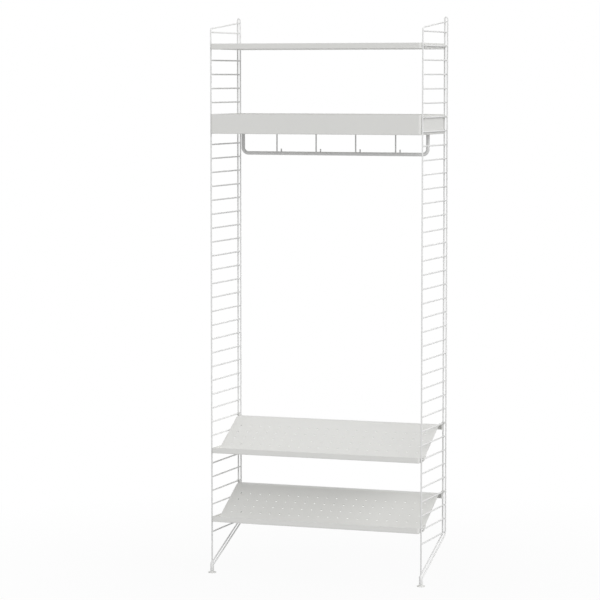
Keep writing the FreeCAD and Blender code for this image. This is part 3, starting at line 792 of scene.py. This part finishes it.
class RACK_OT_shoe_shelves(Operator):
    """Fold and perforate the two sloping shoe shelves"""
    bl_idname = "hall_rack.shoe_shelves"
    bl_label = "Shoe shelves"

    shelves = (("upper_shoe_shelf", "upper_shoe_tray"), ("lower_shoe_shelf", "lower_shoe_tray"))

    # Heights over the shelf's floor
    front_rung, rear_rung = 0.0138, 0.1138
    trough_rise, flange_top, lip_top = 0.0024, 0.0198, 0.0218
    skirt_low, level_top = 0.0878, 0.107

    # Runs along Y: the lip's side and the trough from the front, the top and the ears from the rear
    step, trough_run, top_run, ear_run = 0.0081, 0.038, 0.0405, 0.014

    # How much narrower the slope is on each side and wider its lower fold, and the drilling depth
    side_trim, foot_fold, hole_depth = 0.0036, 1.25, 0.008

    def execute(self, context):
        sizes = context.scene.rack_sizes
        for node, name in self.shelves:
            piece = self.tray(node, name, sizes)
            floor = low(node, Z)
            rungs = (floor + self.front_rung, floor + self.rear_rung)
            strips = straps(node, sizes, rungs, floor + self.level_top - sizes.strap_lip)
            finish_shelf(piece, node, strips, self.holes(node, sizes))
        return {"FINISHED"}

    def slope(self, node, sizes):
        """The foot and the head of the slope's underside, by Y and Z."""
        floor = low(node, Z)
        return ((low(node, Y) + self.trough_run, floor),
                (high(node, Y) - self.top_run, floor + self.level_top - sizes.sheet_thickness))

    def slope_place(self, node, sizes, rise):
        """Where along Y the slope's underside reaches a height over the shelf's floor."""
        (foot, floor), (head, top) = self.slope(node, sizes)
        return foot + (head - foot) * rise / (top - floor)

    def tray(self, node, name, sizes):
        """One folded shell: lip, trough and flanges, slope, level top and skirt."""
        half, thickness = shelf_half(sizes), sizes.sheet_thickness
        (_, front, floor), (_, back, _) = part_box(node)
        front -= sizes.shelf_overhang
        (foot, _), (head, under) = self.slope(node, sizes)
        trough = floor + self.trough_rise
        trough_end = self.slope_place(node, sizes, self.trough_rise)
        ear_start = back - self.ear_run
        flange_end = self.slope_place(node, sizes, self.flange_top - thickness)
        sky = floor + self.level_top
        turn = math.atan2(under - floor, head - foot)
        outer = sizes.sheet_bend_radius * self.foot_fold
        inner = sizes.sheet_bend_radius - thickness
        bm = bmesh.new()
        self.add_prism(bm, half, [(front, trough), *self.fold((trough_end, trough), 0, turn, outer),
                                  *self.fold((head, under), turn, 0, inner), (back, under),
                                  (back, sky), (front, sky)])
        round_front_corners(bm, front, sizes)
        folds = [edge for edge in bm.edges if self.is_side_fold(edge, half, front, sky)]
        bevel(bm, folds, sizes.sheet_bend_radius, FOLD_STEPS)
        inset = half - self.side_trim
        self.cut_planes(bm, [((0, 0, floor + self.flange_top), UP),
                             ((0, 0, floor + self.lip_top), UP),
                             ((0, front + self.step, 0), AHEAD), ((0, flange_end, 0), AHEAD),
                             ((0, ear_start, 0), AHEAD), ((inset, 0, 0), ACROSS),
                             ((-inset, 0, 0), ACROSS)])
        spare = [face for face in bm.faces
                 if self.is_spare(face, front, floor, sky, inset, flange_end, ear_start)]
        bmesh.ops.delete(bm, geom=spare, context="FACES")
        bottom, rear = floor + self.skirt_low, back - thickness
        self.add_skirt(bm, half - thickness, inset, [(ear_start, bottom), (rear, bottom),
                                                     (rear, under), (ear_start, under)], inner)
        bmesh.ops.remove_doubles(bm, verts=bm.verts, dist=SEAM_DISTANCE)
        piece = finish_mesh(bm, name, closed=False)
        finish_shell(piece, sizes)
        return piece

    def fold(self, corner, heading, turned, radius):
        """Points by Y and Z round a fold from one heading to another."""
        reach = radius * math.tan(abs(turned - heading) / 2)
        side = math.copysign(radius, turned - heading)
        y = corner[0] - reach * math.cos(heading) - side * math.sin(heading)
        z = corner[1] - reach * math.sin(heading) + side * math.cos(heading)
        angles = [heading + (turned - heading) * step / FOLD_STEPS
                  for step in range(FOLD_STEPS + 1)]
        return [(y + side * math.sin(angle), z - side * math.cos(angle)) for angle in angles]

    def add_prism(self, bm, half, outline):
        """A closed block with the same outline, by Y and Z, all along X."""
        points = [bm.verts.new((-half, y, z)) for y, z in outline]
        side = bm.faces.new(points)
        grown = bmesh.ops.extrude_face_region(bm, geom=[side])["geom"]
        moved = pick(grown, BMVert)
        bmesh.ops.translate(bm, verts=moved, vec=(2 * half, 0, 0))
        faces = list({face for vertex in points + moved for face in vertex.link_faces})
        bmesh.ops.recalc_face_normals(bm, faces=faces)

    def cut_planes(self, bm, planes):
        """Cut the mesh along planes so that faces can be taken out up to them."""
        for place, normal in planes:
            bmesh.ops.bisect_plane(bm, geom=bm.verts[:] + bm.edges[:] + bm.faces[:],
                                   plane_co=place, plane_no=normal, dist=MERGE_DISTANCE)

    def is_side_fold(self, edge, half, front, sky):
        """Whether an edge is a fold in front of the trough or beside the sheet."""
        ends = [vertex.co for vertex in edge.verts]
        if is_upright(edge) or any(end.z > sky - MM / 2 for end in ends):
            return False
        if all(end.y < front + self.trough_run - MM for end in ends):
            return True
        return abs(sum(end.x for end in ends)) > 2 * (half - MM)

    def is_spare(self, face, front, floor, sky, inset, flange_end, ear_start):
        """Whether a face of the block is not part of the folded sheet in front of the ears."""
        place = face.calc_center_median()
        if place.y > ear_start or face.normal.z > SQUARE_TO and place.z > sky - MM:
            return True
        if place.y > flange_end:
            return abs(place.x) > inset or abs(face.normal.x) > MOSTLY_ALONG
        rise = place.z - floor
        if place.y > front + self.step:
            return rise > self.flange_top and abs(face.normal.z) < MOSTLY_ALONG
        return rise > self.lip_top

    def add_skirt(self, bm, half, inset, outline, radius):
        """The rear of the level top, its skirt and both ears, drawn by their inner faces."""
        skirt = bmesh.new()
        self.add_prism(skirt, half, outline)
        ear_start, bottom = outline[0]
        folds = [edge for edge in skirt.edges
                 if not all(vertex.co.z < bottom + MM for vertex in edge.verts)
                 and not all(vertex.co.y < ear_start + MM for vertex in edge.verts)]
        bevel(skirt, folds, radius, FOLD_STEPS)
        open_faces = [face for face in skirt.faces
                      if min(face.normal.y, face.normal.z) < -SQUARE_TO]
        bmesh.ops.delete(skirt, geom=open_faces, context="FACES")
        self.cut_planes(skirt, [((inset, 0, 0), ACROSS), ((-inset, 0, 0), ACROSS)])
        bmesh.ops.reverse_faces(skirt, faces=skirt.faces)
        mesh = bpy.data.meshes.new("skirt")
        skirt.to_mesh(mesh)
        skirt.free()
        bm.from_mesh(mesh)
        bpy.data.meshes.remove(mesh)

    def holes(self, node, sizes):
        """Cutters for the perforation, in rows up the middle of the slope."""
        foot, head = (Vector((0, *place)) for place in self.slope(node, sizes))
        slope = head - foot
        tilt = math.atan2(slope.z, slope.y)
        step = slope.normalized() * sizes.hole_pitch
        bm = bmesh.new()
        for row in range(sizes.hole_rows):
            up = foot + slope / 2 + step * (row - (sizes.hole_rows - 1) / 2)
            for column in range(sizes.hole_columns):
                across = (column - (sizes.hole_columns - 1) / 2) * sizes.hole_pitch
                add_drill(bm, up + Vector((across, 0, 0)), sizes.hole_diameter,
                          self.hole_depth, HOLE_SIDES, tilt)
        return bm


class RACK_OT_rail(Operator):
    """Bend the clothes rail and turn its screws"""
    bl_idname = "hall_rack.rail"
    bl_label = "Clothes rail"

    # The screws: shank, head, the head's rim by how far in from the outside and up, and socket
    shank_radius, shank_chamfer = 0.0025, 0.0005
    head_radius, head_height, head_flat = 0.00475, 0.003, 0.00235
    head_rim = ((0.0002, 0), (0, 0.0003), (0.0002, 0.0011), (0.0008, 0.0019), (0.0016, 0.0026))
    key_width, key_depth, key_sides = 0.0034, 0.0036, 6

    def execute(self, context):
        self.tube(context.scene.rack_sizes)
        self.screws()
        coat(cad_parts["rail_plugs"], "rail_plug")
        return {"FINISHED"}

    def tube(self, sizes):
        """The rail, bent up at both ends to the shelf above."""
        node, radius, bend = "clothes_rail", sizes.rail_diameter / 2, sizes.rail_bend_radius
        half, along = rail_half(), mid(node, Y)
        top, line = high(node, Z), low(node, Z) + radius
        corners = [(-half, along, top), (-half, along, line),
                   (half, along, line), (half, along, top)]
        bm = bmesh.new()
        add_bar(bm, corners, [bend, bend], radius, RAIL_SIDES, 0)
        seat(finish_mesh(bm, "clothes_bar"), "hat_shelf", "white_rail", node)

    def screws(self):
        """Two round-headed screws with hexagon sockets."""
        node = "rail_screws"
        bottom, top = low(node, Z), high(node, Z)
        seat_height = top - self.head_height
        bm, keys = bmesh.new(), bmesh.new()
        for sign in (-1, 1):
            place = (sign * rail_half(), mid(node, Y), 0)
            add_turned(bm, [(0, bottom), (self.shank_radius - self.shank_chamfer, bottom),
                            (self.shank_radius, bottom + self.shank_chamfer),
                            (self.shank_radius, seat_height),
                            *((self.head_radius - inset, seat_height + rise)
                              for inset, rise in self.head_rim),
                            (self.head_flat, top), (0, top)], place, SCREW_SIDES)
            add_drill(keys, (*place[:2], top), self.key_width, self.key_depth, self.key_sides)
        piece = finish_mesh(bm, "rail_bolts")
        combine(piece, keys, "DIFFERENCE")
        crisp(piece)
        seat(piece, "hat_shelf", "zinc_screw", node)


class RACK_OT_hooks(Operator):
    """Bend the four wire hooks"""
    bl_idname = "hall_rack.hooks"
    bl_label = "Coat hooks"

    def execute(self, context):
        sizes = context.scene.rack_sizes
        radius = sizes.hook_wire_diameter / 2
        turn = sizes.hook_bend_radius
        for number, node in enumerate(HOOK_NODES, start=1):
            stem, along = hook_stem(node), mid(node, Y)
            arm, bottom = high(node, Z) - radius, low(node, Z) + radius
            tip = stem + 2 * turn
            corners = [(low(node, X), along, arm), (stem, along, arm), (stem, along, bottom),
                       (tip, along, bottom), (tip, along, bottom + turn + sizes.hook_tip_rise)]
            bm = bmesh.new()
            add_bar(bm, corners, [sizes.hook_arm_bend_radius, turn, turn], radius, HOOK_SIDES,
                    sizes.hook_tip_round)
            seat(finish_mesh(bm, f"wire_hook_{number}"), node, "white_hook", node)
        return {"FINISHED"}


class RACK_OT_stage(Operator):
    """Lay the floor, light it softly and set the camera"""
    bl_idname = "hall_rack.stage"
    bl_label = "Stage"

    # How strongly the world lights the rack, though it is seen as white
    white = (1, 1, 1, 1)
    world_strength = 0.507

    # Each lamp's name, strength, width in degrees and direction
    lamps = (("key_light", 0.845, 35, (1, 0, 0.7)),
             ("corner_light", 0.642, 40, (0.7, -0.7, 0.5)),
             ("front_light", 0.674, 40, (0, -0.88, 0.47)))

    def execute(self, context):
        scene = context.scene
        scene.view_settings.view_transform = "Standard"
        self.floor(scene)
        self.world(scene)
        for lamp in self.lamps:
            self.lamp(scene, *lamp)
        self.camera(scene)
        return {"FINISHED"}

    def floor(self, scene):
        """A wide pale floor whose far part is as white as the background."""
        bm = bmesh.new()
        bmesh.ops.create_circle(bm, cap_ends=True, radius=6, segments=96)
        floor = finish_mesh(bm, "floor")
        finish = Finish(bpy.data.materials.new("pale_floor"))
        colour = tone(scene.rack_colours.floor, 1)
        matt = finish.add("ShaderNodeBsdfDiffuse", None, {"Color": colour})
        glow = finish.add("ShaderNodeEmission", None, {"Color": self.white, "Strength": 1.0})
        distance = finish.add("ShaderNodeVectorMath", {"operation": "LENGTH"},
                              {0: finish.coordinates()}, output=1)
        fade = finish.add("ShaderNodeMapRange", {"clamp": True}, {
            "Value": distance, "From Min": 0.5, "From Max": 2.0, "To Min": 0.95, "To Max": 1.0})
        seen = self.seen_directly(finish)
        mix = finish.add("ShaderNodeMixShader", None, {0: fade * seen, 1: matt, 2: glow})
        floor.data.materials.append(finish.close(mix))

    def seen_directly(self, finish):
        """1 where the camera, a reflection or clear material looks at a surface, else 0."""
        camera, glossy, clear = [finish.add("ShaderNodeLightPath", output=f"Is {ray} Ray")
                                 for ray in ("Camera", "Glossy", "Transmission")]
        return camera.maths("MAXIMUM", camera.maths("MAXIMUM", camera, glossy), clear)

    def world(self, scene):
        """White as seen, and a plain soft light on the rack."""
        finish = Finish(bpy.data.worlds.new("studio"))
        extra = self.seen_directly(finish) * (1 - self.world_strength)
        light = finish.add("ShaderNodeBackground", None,
                           {"Color": self.white, "Strength": self.world_strength + extra})
        scene.world = finish.close(light, "ShaderNodeOutputWorld")

    def lamp(self, scene, name, strength, width, direction):
        """A broad far lamp that shines from a direction."""
        data = bpy.data.lights.new(name, "SUN")
        data.energy = strength
        data.angle = math.radians(width)
        lamp = bpy.data.objects.new(name, data)
        lamp.rotation_euler = Vector(direction).to_track_quat("Z", "Y").to_euler()
        scene.collection.objects.link(lamp)

    def camera(self, scene):
        """The photograph's point of view."""
        data = bpy.data.cameras.new("camera")
        data.sensor_width = 36
        data.lens = 161.22
        data.clip_end = 100
        camera = bpy.data.objects.new("camera", data)
        camera.location = (3.1936, -9.0756, 1.7828)
        camera.rotation_euler = (math.radians(85.304), 0, math.radians(19.978))
        scene.collection.objects.link(camera)
        scene.camera = camera


class RACK_PT_panel(Panel):
    """Sizes, colours and builders of the rack"""
    bl_idname = "RACK_PT_panel"
    bl_label = "Hall Coat Rack"
    bl_space_type = "VIEW_3D"
    bl_region_type = "UI"
    bl_category = "Hall Rack"

    def draw(self, context):
        for group in (context.scene.rack_sizes, context.scene.rack_colours):
            column = self.layout.column(align=True)
            for name in group.bl_rna.properties.keys():
                if name not in ("rna_type", "name"):
                    column.prop(group, name)
        for operator in BUILDERS:
            self.layout.operator(operator.bl_idname)


BUILDERS = (RACK_OT_ladders, RACK_OT_feet, RACK_OT_flat_shelves, RACK_OT_shoe_shelves,
            RACK_OT_rail, RACK_OT_hooks, RACK_OT_stage)
CLASSES = (RackSizes, RackColours, *BUILDERS, RACK_PT_panel)


def register():
    for item in CLASSES:
        bpy.utils.register_class(item)
    bpy.types.Scene.rack_sizes = PointerProperty(type=RackSizes)
    bpy.types.Scene.rack_colours = PointerProperty(type=RackColours)


def unregister():
    del bpy.types.Scene.rack_colours
    del bpy.types.Scene.rack_sizes
    for item in reversed(CLASSES):
        bpy.utils.unregister_class(item)


def main():
    """Build the rack and its stage."""
    register()
    bpy.ops.hall_rack.ladders()
    bpy.ops.hall_rack.feet()
    bpy.ops.hall_rack.flat_shelves()
    bpy.ops.hall_rack.shoe_shelves()
    bpy.ops.hall_rack.rail()
    bpy.ops.hall_rack.hooks()
    bpy.ops.hall_rack.stage()


if __name__ == "__main__":
    main()
